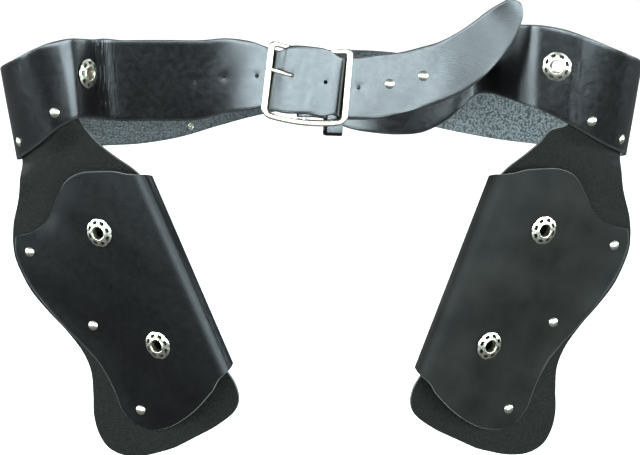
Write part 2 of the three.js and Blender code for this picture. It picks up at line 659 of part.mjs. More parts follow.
const strapHoles = [
  ...BUCKLE_HOLES.map((hole) => stand(pin(HOLE_R, HOLE_PIN, 8), strapPlace(hole.station, hole.up))),
  ...[...TONGUE_RIVETS, BACK_RIVET].map((rivet) => stand(postPin(HOLE_PIN), strapPlace(rivet.station, rivet.up))),
  ...CHAPE_RIVETS.map((rivet) => stand(postPin(CHAPE_PIN), strapPlace(CHAPE_STATION, rivet.up, -CHAPE_STACK / 2))),
  ...beltRivets.map((rivet) => stand(postPin(LEATHER_PIN), edgePlace(rivet, 0))),
  ...BELT_CONCHOS.map((concho) => stand(barrelPin(), strapPlace(concho.station, concho.up))),
  leaned(slotDisc.translate(0, BAR_BACK, 0), FRAME_AT),
];

function strapSurface(along, across) {
  const station = along * STRAP_LAST;
  return strapMiddle(station, (across - 0.5) * 2 * strapHalf(station));
}

addMesh('belt_strap', cutBy(sheet(strapSurface, STRAP_PARTS, 1, STRAP_T), strapHoles), LEATHER);

// Buckle and keeper
addMesh('buckle_frame', frameGeometry(), NICKEL);
addMesh('buckle_prong', prongGeometry(), NICKEL);
addMesh('keeper_loop', keeperGeometry(), LEATHER);

// Holsters, each a back panel that runs up behind the strap and a pouch folded round to its front
const NECK_STACK = STRAP_T + NECK_GAP + SKIRT_T + NECK_GAP;

for (const side of SIDES) {
  const panelHoles = [];
  const pouchHoles = [];
  for (const rivet of side.rivets) {
    panelHoles.push(stand(postPin(2 * LEATHER_PIN), edgePlace(rivet, 0)));
    addMesh(rivet.name, stand(rivetGeometry(NECK_STACK), edgePlace(rivet, STRAP_T / 2)), NICKEL);
  }
  for (const rivet of POUCH_RIVETS) {
    const place = pouchPlace(side, rivet.u, rivet.v);
    place.outward = holsterPlace(side, 0, 0).outward;
    place.point.addScaledVector(place.outward, CAP_LIFT);
    const hole = stand(postPin(2 * LEATHER_PIN), place);
    panelHoles.push(hole);
    pouchHoles.push(hole);
    addMesh(`${rivet.name}_${side.name}`, stand(rivetGeometry(place.lift + SKIRT_T + CAP_LIFT), place), NICKEL);
  }
  for (const concho of POUCH_CONCHOS) {
    const place = pouchPlace(side, concho.u, concho.v);
    pouchHoles.push(stand(barrelPin(), place));
    addMesh(`concho_${concho.name}_${side.name}`, stand(conchoGeometry(SKIRT_T), place), NICKEL);
  }
  const panel = sheet(panelSurface(side), PANEL_PARTS, 6, SKIRT_T);
  const pouch = sheet(pouchSurface(side), POUCH_PARTS, FOLD_STEPS + FRONT_STEPS, SKIRT_T);
  addMesh(`holster_back_${side.name}`, cutBy(panel, panelHoles), ROUGH_LEATHER);
  addMesh(`holster_pouch_${side.name}`, cutBy(pouch, pouchHoles), LEATHER);
}

// Fasteners on the strap
for (const concho of BELT_CONCHOS) {
  addMesh(concho.name, stand(conchoGeometry(STRAP_T + NECK_GAP), strapPlace(concho.station, concho.up, STRAP_T / 2)), NICKEL);
}
for (const rivet of [...TONGUE_RIVETS, BACK_RIVET]) {
  addMesh(rivet.name, stand(rivetGeometry(STRAP_T), strapPlace(rivet.station, rivet.up, STRAP_T / 2)), NICKEL);
}
for (const rivet of CHAPE_RIVETS) {
  const place = strapPlace(CHAPE_STATION, rivet.up, STRAP_T / 2);
  addMesh(rivet.name, stand(rivetGeometry(CHAPE_STACK), place), NICKEL);
}

export default belt;
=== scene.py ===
# The look of a black leather gun belt with two holsters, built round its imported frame.
# Tables and sizes are in millimetres, as in the frame's source, and points become metres
# when a mesh is made. X runs to the right as the belt is seen, Y away, Z up.

import math

import bpy
import numpy as np
from mathutils import Matrix, Vector


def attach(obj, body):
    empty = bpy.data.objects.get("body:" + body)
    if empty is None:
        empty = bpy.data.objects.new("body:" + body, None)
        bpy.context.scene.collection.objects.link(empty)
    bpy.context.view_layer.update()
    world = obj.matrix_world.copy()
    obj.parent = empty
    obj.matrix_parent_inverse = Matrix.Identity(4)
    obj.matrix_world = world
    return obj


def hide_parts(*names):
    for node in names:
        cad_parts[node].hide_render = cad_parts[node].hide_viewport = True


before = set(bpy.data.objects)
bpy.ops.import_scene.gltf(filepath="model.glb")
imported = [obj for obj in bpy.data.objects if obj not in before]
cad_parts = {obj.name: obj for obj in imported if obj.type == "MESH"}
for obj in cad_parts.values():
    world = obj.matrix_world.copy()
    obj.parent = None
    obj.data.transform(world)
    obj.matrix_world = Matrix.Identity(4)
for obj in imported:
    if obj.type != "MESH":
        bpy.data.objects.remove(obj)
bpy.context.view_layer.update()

MM = 0.001

# Leather
STRAP_T = 2.8
SKIRT_T = 2.2
CLEAR = 0.35
NECK_GAP = 1.0
LEAN = math.radians(15.5)

# Buckle
FRAME_W = 66.6
FRAME_H = 60.0
FRAME_BAR = 4.9
FRAME_DEPTH = 3.2
FRAME_CORNER = 5.0
FRAME_BOW = 3.6
FRAME_FLARE = 0.018
FRAME_ROLL = math.radians(6)
FRAME_AT = (-9.5, -77.0, -1.5)
BAR_R = 1.8
BAR_BACK = 1.0
PRONG_R = 1.25
PRONG_CURL = (-60, -20, 20, 60, 100, 140, 180)
PRONG = (
    (-8, 0.2, 2.2), (-10.7, -2.2, 4.4), (-11.8, -6.6, 5.2), (-14.4, -9.2, 5.9),
    (-19, -9.9, 7.2), (-26, -7.4, 9.2), (-32, -3.8, 10.8),
)
SLOT_R = 6.1
SLOT_H = 9.0

# Conchos and rivets
CONCHO_R = 11.0
CONCHO_HOLE_R = 4.6
CONCHO_H = 2.6
CONCHO_BARREL_R = 5.3
CONCHO_RIM_R = 6.0
CONCHO_SCALLOP = 0.045
CONCHO_SLOTS = 8
SLOT_OUT = 8.3
SLOT_LONG = 4.1
SLOT_WIDE = 2.5
CAP_R = 3.9
CAP_H = 1.5
CAP_LIFT = 0.45
POST_R = 1.5
BURR_R = 3.2
BURR_H = 0.9
HOLE_R = 1.6
HOLE_CLEAR = 0.2

# Cutters' lengths: through one sheet, through leather that curves, and through stacks
SHEET_PIN = 6.0
LEATHER_PIN = 10.0
CHAPE_PIN = 14.0
POUCH_PIN = 20.0

# Holsters, in the plane of their back panel: u outward from the fold, v down along it
FOLD_U = 2.5
FOLD_R = 8.5
SEAM_GAP = 0.1
SEAM = FOLD_U + FOLD_R + SEAM_GAP
EDGE_LIFT = SKIRT_T + CLEAR
POUCH_LENGTH = 155.0
POUCH_WIDTH = 130.0
POUCH_FALL = 1.3
POUCH_FLAT = 0.93

# The strap from the tip of its tongue to the end turned round the buckle's bar: the middle's
# x, y and z, the width, and how far the upper edge lies right of and behind the lower one
STRAP = np.array((
    (150.5, -79, 61, 7.5, -5, 1), (147, -80, 57, 18, -11, 3), (137, -81, 44, 30.5, -17, 7),
    (125, -82, 31, 37, -16, 9), (112, -82, 19.5, 41.5, -13, 10.5), (95, -80.5, 9, 44.5, -7, 11.5),
    (77, -79, 2.5, 46.5, -2, 12.5), (60, -77.5, -2.5, 47.5, 0, 12.5), (42, -75.5, -6, 49, 0, 13),
    (21, -74, -7, 48.5, 5, 13), (13, -79.4, -3.7, 44.6, 5, 13), (4, -82, -0.6, 51, 4, 14),
    (-9, -83.4, 1.9, 51.7, 4, 14), (-24, -81.3, 1.8, 52, 4, 14), (-32.5, -77.2, -0.4, 46.5, 5, 13),
    (-41.5, -71.3, 0.4, 46, 5, 13), (-54, -70.5, 1.5, 53, 3, 12.5), (-72, -70, 1.5, 58, 2, 9),
    (-93, -70, -2, 62.5, 2, 5), (-114, -70, -2.5, 64, 1, 4), (-135, -70, -2.5, 64, 1, 4),
    (-152, -70.5, -2.5, 64, 0, 4), (-164, -74, -0.5, 64, 0, 6), (-171, -83, 2.5, 61.5, -1, 8.5),
    (-177, -96, 7, 60.5, -2, 10), (-185, -106.5, 10, 60.5, -3, 10), (-198, -110, 6, 64.5, -4, 7),
    (-214, -104, -5, 71, -5, 3), (-229, -91, -17, 74.5, -6, 0), (-240, -74, -27, 76, -7, 0),
    (-244, -56, -35, 76, -6, -1), (-239, -38, -40, 75, -4, -2), (-225, -24, -43, 73, -1, -3),
    (-205, -14, -45, 70, 2, -3), (-183, -4, -46, 68, 3, -2), (-152, 15, -50.5, 68, 3, -1),
    (-121, 35, -53, 65.5, 2, -1), (-91, 53, -52, 61, 2, -2), (-61, 66, -49.5, 57.5, 1, -4),
    (-30, 73.5, -47, 55, 0, -6), (0, 76, -46.5, 56, 0, -8), (30, 76, -47, 57.5, 0, -8),
    (60, 71, -49, 60, -1, -6), (90, 58, -51, 62, -1, -3), (120, 38, -51, 62.5, -2, -1),
    (152, 13, -49.5, 61, -3, 0), (184, -9, -47, 59.5, -4, 0), (208, -20, -44.5, 64.5, -3, -1),
    (228, -29, -41, 71, 1, -2), (241, -42, -37, 76, 4, -1), (246, -58, -30.5, 76, 6, 0),
    (241, -74, -22.2, 76.5, 6, 1), (230, -88, -14, 76, 5, 3), (215, -97, -5, 73.5, 5, 5),
    (199, -101.5, 4, 71, 3, 6), (182, -100.5, 11.5, 68, 1, 8), (167, -92.5, 14.5, 64, -1, 10),
    (154, -79, 13.5, 60, -2, 11.5), (143, -64, 11.5, 56.5, -2, 11.5), (133, -52, 10, 54.5, -1, 10),
    (123, -47.5, 7, 54, -1, 8.5), (112, -52, -1, 53.5, -2, 7), (98, -60, -11.5, 52.5, -1, 5.5),
    (80, -66, -18.5, 53.5, -1, 4.5), (62, -68, -19.5, 54, -1, 4.5), (44, -67.8, -18, 54, 0, 8),
    (25, -68.6, -14.5, 53.5, 0, 12.5), (13, -71.1, -10.9, 49, 2, 13), (4.5, -73.5, -7.7, 47, 4, 12.5),
    (-2, -78.5, -4.7, 47.5, 5, 12.5), (-9.8, -80.8, -3.6, 48, 5, 13), (-14.3, -76.8, -4.7, 48, 5, 13),
    (-9.8, -72.9, -5.7, 48, 5, 13), (-2, -72, -6.5, 46.5, 5, 12.5), (4.5, -69.6, -8.8, 46.5, 4, 12.5),
    (13, -67.3, -12, 47.5, 2, 12.5), (25, -64.7, -15.3, 48, 0, 11.5), (38, -63.9, -17.6, 48, 0, 9),
), float)
STRAP_LAST = len(STRAP) - 1

# Holes and fasteners through the strap: station along it, height from its middle
BUCKLE_HOLES = ((18.2, -1), (17.1, -0.5), (15.6, 0.4), (12.8, 3.2), (11, 0.7), (8.55, 0.5))
TONGUE_RIVETS = (("rivet_tongue_a", 7.35, 1), ("rivet_tongue_b", 5.87, 1))
BACK_RIVET = ("rivet_back", 36.3, -24)
CHAPE_RIVETS = (("rivet_chape_upper", 13), ("rivet_chape_lower", -13))
CHAPE_STATION = 65.68
CHAPE_STACK = 2 * STRAP_T + 1.6
BELT_CONCHOS = (("concho_belt_left", 23.9, 4), ("concho_belt_right", 55.25, 5))

# Each holster's plane, its neck behind the strap (stations of its outer and inner edge, and
# height above the strap's lower edge) and its rivets through the strap
SIDES = (
    dict(name="left", mirror=-1, fold=(-122.1, -131.5, -56.7), across=(-0.868, 0.198, -0.455),
         down=(0.384, -0.286, -0.862), neck=((29.6, 25.3, 30), (29.5, 24.9, 14), (29.4, 24.6, -1)),
         rivets=(("rivet_belt_left_a", 26.1, 13), ("rivet_belt_left_b", 28.5, 12))),
    dict(name="right", mirror=1, fold=(123.7, -125.8, -58.9), across=(0.885, 0.211, -0.415),
         down=(-0.352, -0.28, -0.893), neck=((51, 54.1, 30), (50.9, 54.3, 14), (50.8, 54.6, -1)),
         rivets=(("rivet_belt_right_a", 53.5, 12), ("rivet_belt_right_b", 51.6, 10))),
)

# Back panel below the strap: outer u and v, inner u and v. The last row rounds off the toe.
PANEL = np.array((
    (110, -38, 38, -49), (119, -24, 33, -37), (131, -9, 25, -24), (139, 6, 16, -11),
    (142, 16, SEAM, 1), (142.5, 28, SEAM, 15), (141, 45, SEAM, 36), (135, 64, SEAM, 60),
    (126, 86, SEAM, 84), (120.5, 106, SEAM, 106), (120.5, 122, SEAM, 124), (127, 140, SEAM, 142),
    (134.5, 157, SEAM, 158), (137, 172, 9, 172), (134.5, 185, 11, 183), (125, 195, 18, 191),
    (109, 201, 37, 197.5), (89, 203, 61, 201), (79, 203.4, 71, 202.4),
), float)

# Pouch: its riveted outer edge from mouth to foot, how far its mouth rises and its foot drops
POUCH_EDGE = np.array((
    (132.5, 1), (138.5, 14), (138.5, 38), (133, 60), (124, 84),
    (114.5, 105), (109, 122), (107, 142), (107.5, 160), (102.5, 174),
), float)
MOUTH_RISE = np.array((
    (0, 8), (0.1, 15), (0.2, 20), (0.32, 24.5), (0.45, 23.5), (0.58, 14), (0.7, 3), (0.85, -2), (1, 0),
), float)
FOOT_DROP = np.array(((0, 6), (0.1, 11), (0.3, 16), (0.5, 18), (0.7, 17), (0.88, 11), (1, 0)), float)
POUCH_RIVETS = (
    ("rivet_edge_top", 125.5, 16.5), ("rivet_edge_middle", 99.4, 89), ("rivet_edge_foot", 91, 165),
)
POUCH_CONCHOS = (("upper", 55.5, 23.5), ("lower", 48.5, 120.5))

# Keeper round the two layers of the turned end: place and inner size
KEEPER_AT = (11.3, -70.8, -15.0)
KEEPER_LONG = 13.0
KEEPER_DEEP = 8.6
KEEPER_TALL = 58.7
KEEPER_WALL = 1.2
KEEPER_YAW = math.radians(17.5)
KEEPER_ROLL = math.radians(3)

# Camera, as the photograph was taken
CAMERA_AT = (0.0, -1.1329, 0.3253)
CAMERA_PITCH = math.radians(23)
CAMERA_LENS = 80.44
FLOOR_Z = -0.9
FLOOR_R = 6.0


def unit(v):
    return v / np.linalg.norm(v, axis=-1, keepdims=True)


def blend(column, place):
    """A table column's value at places between its rows, through a smooth curve."""
    last = len(column) - 1
    i = np.clip(np.floor(place), 0, last - 1).astype(int)
    f = place - i
    a, b, c, d = (column[np.clip(i + k, 0, last)] for k in (-1, 0, 1, 2))
    return b + 0.5 * f * (c - a + f * (2 * a - 5 * b + 4 * c - d + f * (3 * (b - c) + d - a)))


def look_up(table, x):
    """The second column at places given in the first."""
    i = np.clip(np.searchsorted(table[:, 0], x) - 1, 0, len(table) - 2)
    return blend(table[:, 1], i + (x - table[i, 0]) / (table[i + 1, 0] - table[i, 0]))


def smooth_curve(points, t):
    """The centripetal curve through points[row, column], t from 0 to 1 for each column."""
    ends = [2 * points[:1] - points[1:2], points, 2 * points[-1:] - points[-2:-1]]
    points = np.concatenate(ends)
    place = np.clip(t, 0, 1) * (len(points) - 3)
    i = np.clip(np.floor(place).astype(int), 0, len(points) - 4)
    f = (place - i)[:, None]
    column = np.arange(len(t)) if points.shape[1] > 1 else np.zeros(len(t), int)
    p0, p1, p2, p3 = (points[i + k, column] for k in range(4))
    gap = [np.linalg.norm(q - p, axis=1)[:, None] ** 0.5 for p, q in ((p0, p1), (p1, p2), (p2, p3))]
    gap = [np.where(g < 1e-4, 1, g) for g in gap]
    start = ((p1 - p0) / gap[0] - (p2 - p0) / (gap[0] + gap[1]) + (p2 - p1) / gap[1]) * gap[1]
    stop = ((p2 - p1) / gap[1] - (p3 - p1) / (gap[1] + gap[2]) + (p3 - p2) / gap[2]) * gap[1]
    return p1 + f * (start + f * (3 * (p2 - p1) - 2 * start - stop + f * (2 * (p1 - p2) + start + stop)))


# Surfaces, all in millimetres: arrays of places give one point a row

def strap_middle(station, up):
    centre = smooth_curve(STRAP[:, None, :3], station / STRAP_LAST)
    width, side, back = (blend(STRAP[:, k], station) for k in (3, 4, 5))
    rise = np.sqrt(width ** 2 - side ** 2 - back ** 2)
    return centre + np.stack([side, back, rise], axis=1) * (up / width)[:, None]


def strap_half(station):
    return blend(STRAP[:, 3], station) / 2


def strap_place(station, up, offset=0.0):
    """Points over the strap's middle surface and the outward direction there."""
    station, up = np.atleast_1d(np.asarray(station, float)), np.atleast_1d(np.asarray(up, float))
    step = 0.02
    along = strap_middle(station + step, up) - strap_middle(station - step, up)
    across = strap_middle(station, up + 1) - strap_middle(station, up - 1)
    outward = unit(np.cross(across, along))
    return strap_middle(station, up) + outward * offset, outward


TIP_ROUND = 0.45
TIP_LEAST = 0.2


def strap_surface(a, b):
    """The strap's middle surface, its width drawn in over the first TIP_ROUND of a station."""
    station = a * STRAP_LAST
    left = np.clip(station / TIP_ROUND, 0, 1)
    rounding = np.maximum(np.sqrt(1 - (1 - left) ** 2), TIP_LEAST)
    return strap_middle(station, (b - 0.5) * 2 * strap_half(station) * rounding)


def holster_place(side, u, v, lift=0.0):
    across, down = np.array(side["across"]), np.array(side["down"])
    outward = unit(np.cross(across, down) * -side["mirror"])
    u, v, lift = (np.atleast_1d(np.asarray(x, float))[:, None] for x in (u, v, lift))
    return np.array(side["fold"]) + across * u + down * v + outward * lift, outward


def panel_surface(side):
    inside = -(STRAP_T / 2 + NECK_GAP + SKIRT_T / 2)

    def surface(a, b):
        rows = []
        for outer, inner, above in side["neck"]:
            station = outer + (inner - outer) * b
            rows.append(strap_place(station, above - strap_half(station), inside)[0])
        for outer_u, outer_v, inner_u, inner_v in PANEL:
            u = outer_u + (inner_u - outer_u) * b
            v = outer_v + (inner_v - outer_v) * b
            rows.append(holster_place(side, u, v)[0])
        return smooth_curve(np.stack(rows), a)

    return surface


def pouch_lift(across):
    fall = np.clip(across / POUCH_FLAT, 0, 1) ** POUCH_FALL
    return EDGE_LIFT + (2 * FOLD_R - EDGE_LIFT) * np.cos(math.pi / 2 * fall) ** 2


def pouch_front(down, across):
    edge = down * (len(POUCH_EDGE) - 1)
    edge_u, edge_v = blend(POUCH_EDGE[:, 0], edge), blend(POUCH_EDGE[:, 1], edge)
    fold_u, fold_v = FOLD_U + FOLD_R, POUCH_LENGTH * down
    rise = look_up(MOUTH_RISE, across) * (1 - down) ** 3
    drop = look_up(FOOT_DROP, across) * down ** 3
    return fold_u + (edge_u - fold_u) * across, fold_v + (edge_v - fold_v) * across - rise + drop


# The fold's part of the way round the pouch, how square its section is, and the steps taken to
# find a place on the pouch
FOLD_SHARE = 0.18
FOLD_POWER = 2.7
SEARCH_STEPS = 30


def pouch_surface(side):
    """The pouch's middle surface: a from mouth to foot, b round its fold and out to its edge."""
    def surface(a, b):
        angle = math.pi * np.clip(b / FOLD_SHARE, 0, 1)
        across = np.clip((b - FOLD_SHARE) / (1 - FOLD_SHARE), 0, 1)
        front_u, front_v = pouch_front(a, across)
        turning = b < FOLD_SHARE
        slant = FOOT_DROP[0, 1] * a ** 3 - MOUTH_RISE[0, 1] * (1 - a) ** 3
        fold_v = POUCH_LENGTH * a + slant * (angle / math.pi) ** 2
        over, up = np.abs(np.sin(angle)), np.abs(np.cos(angle))
        swell = (over ** FOLD_POWER + up ** FOLD_POWER) ** (-1 / FOLD_POWER)
        u = np.where(turning, FOLD_U + FOLD_R - FOLD_R * swell * np.sin(angle), front_u)
        v = np.where(turning, fold_v, front_v)
        lift = np.where(turning, FOLD_R - FOLD_R * swell * np.cos(angle), pouch_lift(across))
        return holster_place(side, u, v, lift)[0]

    return surface


def normals(surface, a, b):
    step = 1e-3
    along = surface(np.minimum(a + step, 1), b) - surface(np.maximum(a - step, 0), b)
    over = surface(a, np.minimum(b + step, 1)) - surface(a, np.maximum(b - step, 0))
    return unit(np.cross(along, over))


def pouch_place(side, u, v):
    """The place on the pouch's face over a point of the back panel, and its lift."""
    down, across = np.array([v / POUCH_LENGTH]), np.array([u / POUCH_WIDTH])
    for _ in range(SEARCH_STEPS):
        here_u, here_v = pouch_front(down, across)
        down = np.clip(down + (v - here_v) / POUCH_LENGTH, 0, 1)
        across = np.clip(across + (u - here_u) / POUCH_WIDTH, 0, 1)
    surface = pouch_surface(side)
    b = FOLD_SHARE + across * (1 - FOLD_SHARE)
    outward = normals(surface, down, b)[0]
    facing = holster_place(side, 0, 0)[1]
    if outward @ facing < 0:
        outward = -outward
    return surface(down, b)[0] + outward * SKIRT_T / 2, outward, pouch_lift(across)[0]


# Materials

def new_material(name, **sockets):
    material = bpy.data.materials.new(name)
    material.use_nodes = True
    shader = material.node_tree.nodes["Principled BSDF"]
    for socket, value in sockets.items():
        shader.inputs[socket.replace("_", " ")].default_value = value
    return material, shader


def node(material, kind, **sockets):
    made = material.node_tree.nodes.new(kind)
    for socket, value in sockets.items():
        made.inputs[socket.replace("_", " ")].default_value = value
    return made


def link(material, source, target):
    material.node_tree.links.new(source, target)


def noise(material, scale, detail=4.0, roughness=0.55):
    """Noise in the object's own space."""
    place = node(material, "ShaderNodeTexCoord").outputs["Object"]
    made = node(material, "ShaderNodeTexNoise", Scale=scale, Detail=detail, Roughness=roughness)
    link(material, place, made.inputs["Vector"])
    return made.outputs["Fac"]


def cells(material, scale):
    """The distance from the middle of each cell, in the object's own space."""
    place = node(material, "ShaderNodeTexCoord").outputs["Object"]
    made = node(material, "ShaderNodeTexVoronoi", Scale=scale)
    link(material, place, made.inputs["Vector"])
    return made.outputs["Distance"]


def ramp(material, source, stops):
    """Colours at places along a value."""
    made = node(material, "ShaderNodeValToRGB")
    band = made.color_ramp
    while len(band.elements) < len(stops):
        band.elements.new(0.5)
    for element, (place, colour) in zip(band.elements, stops):
        element.position = place
        element.color = (*colour, 1)
    link(material, source, made.inputs["Fac"])
    return made.outputs["Color"]


def spread(material, source, low, high, start=0.3, stop=0.7):
    """A value taken from start to stop onto low to high."""
    made = node(material, "ShaderNodeMapRange")
    for socket, value in (("From Min", start), ("From Max", stop), ("To Min", low), ("To Max", high)):
        made.inputs[socket].default_value = value
    link(material, source, made.inputs["Value"])
    return made.outputs["Result"]


def bumps(material, shader, layers):
    """Layers of (height, depth in metres), coarse first."""
    normal = None
    for height, depth in layers:
        bump = node(material, "ShaderNodeBump", Strength=1.0, Distance=depth)
        link(material, height, bump.inputs["Height"])
        if normal:
            link(material, normal, bump.inputs["Normal"])
        normal = bump.outputs["Normal"]
    link(material, normal, shader.inputs["Normal"])


WORN_EDGE = (0.05, 0.048, 0.044)


def grain_leather(name, dark, light, gloss, sheen):
    """Smooth finished face: near black, faintly mottled, fine grain, paler where edges wear."""
    material, shader = new_material(name, Specular_IOR_Level=sheen)
    body = ramp(material, noise(material, 34, 5), ((0.32, dark), (0.72, light)))
    worn = node(material, "ShaderNodeAttribute")
    worn.attribute_name = "edge"
    mix = node(material, "ShaderNodeMix")
    mix.data_type = "RGBA"
    link(material, body, mix.inputs[6])
    mix.inputs[7].default_value = (*WORN_EDGE, 1)
    link(material, spread(material, worn.outputs["Fac"], 0, 0.6, 0.2, 1), mix.inputs["Factor"])
    link(material, mix.outputs[2], shader.inputs["Base Color"])
    polish = spread(material, noise(material, 210, 5), gloss - 0.03, gloss + 0.05)
    link(material, polish, shader.inputs["Roughness"])
    bumps(material, shader, (
        (noise(material, 22, 1), 0.00025), (cells(material, 1150), 0.00004),
        (noise(material, 2600, 2), 0.00001),
    ))
    return material


def flesh_leather(name, dark, light, pebble, dull, sheen, painted_sheen_gain):
    """Unfinished face, pebbled: dark between its grains, which are pebble to the metre. Painted sheen: its
    colour grows up to the given number of times as light from the belt's middle to its right side,
    standing in for the sheen the light gives the inner face there."""
    material, shader = new_material(name, Specular_IOR_Level=sheen)
    grain = cells(material, pebble)
    body = ramp(material, grain, ((0.15, light), (0.75, dark)))
    # Painted sheen: the colour is scaled up along the object's X, lighter towards the right side, in place
    # of the sheen the light gives there.
    place = node(material, "ShaderNodeTexCoord").outputs["Object"]
    parts = node(material, "ShaderNodeSeparateXYZ")
    link(material, place, parts.inputs["Vector"])
    painted_sheen_colour = node(material, "ShaderNodeVectorMath")
    painted_sheen_colour.operation = "SCALE"
    link(material, body, painted_sheen_colour.inputs[0])
    link(material, spread(material, parts.outputs["X"], 1, painted_sheen_gain, 0.02, 0.12), painted_sheen_colour.inputs["Scale"])
    link(material, painted_sheen_colour.outputs["Vector"], shader.inputs["Base Color"])
    polish = spread(material, noise(material, 300, 4), dull, dull + 0.15)
    link(material, polish, shader.inputs["Roughness"])
    bumps(material, shader, (
        (noise(material, 130, 3), 0.00025), (spread(material, grain, 1, 0, 0.1, 0.8), 0.0003),
        (noise(material, 1500, 3), 0.00008),
    ))
    return material


def cut_leather(name, dark, light):
    """Cut edge, with its fibres in layers."""
    material, shader = new_material(name, Specular_IOR_Level=0.4)
    fibres = noise(material, 900, 4, 0.6)
    link(material, ramp(material, fibres, ((0.3, dark), (0.75, light))), shader.inputs["Base Color"])
    link(material, spread(material, fibres, 0.45, 0.7), shader.inputs["Roughness"])
    bumps(material, shader, ((fibres, 0.00012),))
    return material


def nickel(name):
    """Nickel plate, a little warm, with handling marks."""
    material, shader = new_material(name, Metallic=1.0)
    marks = noise(material, 240, 5, 0.6)
    link(material, ramp(material, marks, ((0.25, (0.4, 0.36, 0.26)), (0.5, (0.62, 0.58, 0.47)))),
         shader.inputs["Base Color"])
    link(material, spread(material, noise(material, 700, 4), 0.26, 0.4), shader.inputs["Roughness"])
    bumps(material, shader, ((noise(material, 380, 4), 0.00005),))
    return material


def pale_floor(name):
    material, shader = new_material(name, Roughness=0.8)
    shades = ((0.2, (0.9, 0.9, 0.9)), (0.8, (0.93, 0.93, 0.93)))
    link(material, ramp(material, noise(material, 3, 2), shades), shader.inputs["Base Color"])
    return material


BELT_FACE = grain_leather(
    "belt_leather", (0.001, 0.0009, 0.0009), (0.0025, 0.0022, 0.0021), gloss=0.22, sheen=0.5,
)
# Painted light: both pouches are one leather. The right pouch's copy is made lighter, more olive and
# duller to stand in for the light falling on it, and the left copy stays near black.
POUCH_FACE_WITH_PAINTED_LIGHT = {
    "left": grain_leather(
        "pouch_leather_left", (0.001, 0.0009, 0.0008), (0.0022, 0.0019, 0.0017), gloss=0.34, sheen=0.2,
    ),
    "right": grain_leather(
        "pouch_leather_right_painted_light", (0.003, 0.0029, 0.0022), (0.008, 0.0077, 0.006), gloss=0.5, sheen=0.1,
    ),
}
# The strap's inner face, with painted sheen making it lighter towards the right side.
FLESH = flesh_leather(
    "flesh_leather", (0.006, 0.007, 0.007), (0.045, 0.052, 0.052),
    pebble=560, dull=0.45, sheen=0.8, painted_sheen_gain=3.2,
)
SKIRT = flesh_leather(
    "skirt_leather", (0.002, 0.0019, 0.0014), (0.009, 0.009, 0.0065),
    pebble=1100, dull=0.6, sheen=0.1, painted_sheen_gain=1.0,
)
STRAP_CUT = cut_leather("strap_edge", (0.003, 0.003, 0.003), (0.01, 0.01, 0.009))
CUT = cut_leather("cut_edge", (0.03, 0.029, 0.025), (0.09, 0.086, 0.075))
NICKEL = nickel("nickel_plate")


# Meshes

def make_object(name, points, faces, materials, indices=None, edge=None):
    """A mesh object from millimetres, with a material index a face and edge wear a point."""
    mesh = bpy.data.meshes.new(name)
    mesh.from_pydata((np.asarray(points) * MM).tolist(), [], [list(map(int, f)) for f in faces])
    for material in materials:
        mesh.materials.append(material)
    if indices is not None:
        mesh.polygons.foreach_set("material_index", np.asarray(indices, np.int32))
    if edge is not None:
        wear = mesh.attributes.new("edge", "FLOAT", "POINT")
        wear.data.foreach_set("value", np.asarray(edge, np.float32))
    mesh.validate()
    made = bpy.data.objects.new(name, mesh)
    bpy.context.scene.collection.objects.link(made)
    return made


def boolean(target, tool, operation):
    """The tool joined to or cut from the target, and the tool's mesh removed."""
    modifier = target.modifiers.new("cut", "BOOLEAN")
    modifier.operation = operation
    modifier.solver = "MANIFOLD"
    modifier.object = tool
    graph = bpy.context.evaluated_depsgraph_get()
    mesh = bpy.data.meshes.new_from_object(target.evaluated_get(graph))
    target.modifiers.clear()
    old, target.data = target.data, mesh
    bpy.data.meshes.remove(old)
    bpy.data.meshes.remove(tool.data)


def smooth(made, angle=40):
    made.data.polygons.foreach_set("use_smooth", np.ones(len(made.data.polygons), bool))
    made.data.set_sharp_from_angle(angle=math.radians(angle))


def hand_over(made, node_name):
    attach(made, "root")
    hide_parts(node_name)


# Rows round a sheet's edge, and samples taken across it to measure its width
EDGE_ROWS = 5
EDGE_TURN = 1 - np.cos(np.linspace(0, math.pi / 2, EDGE_ROWS))
WIDTH_SAMPLES = 17
WEAR_REACH = 1.2
WEAR_END = 20


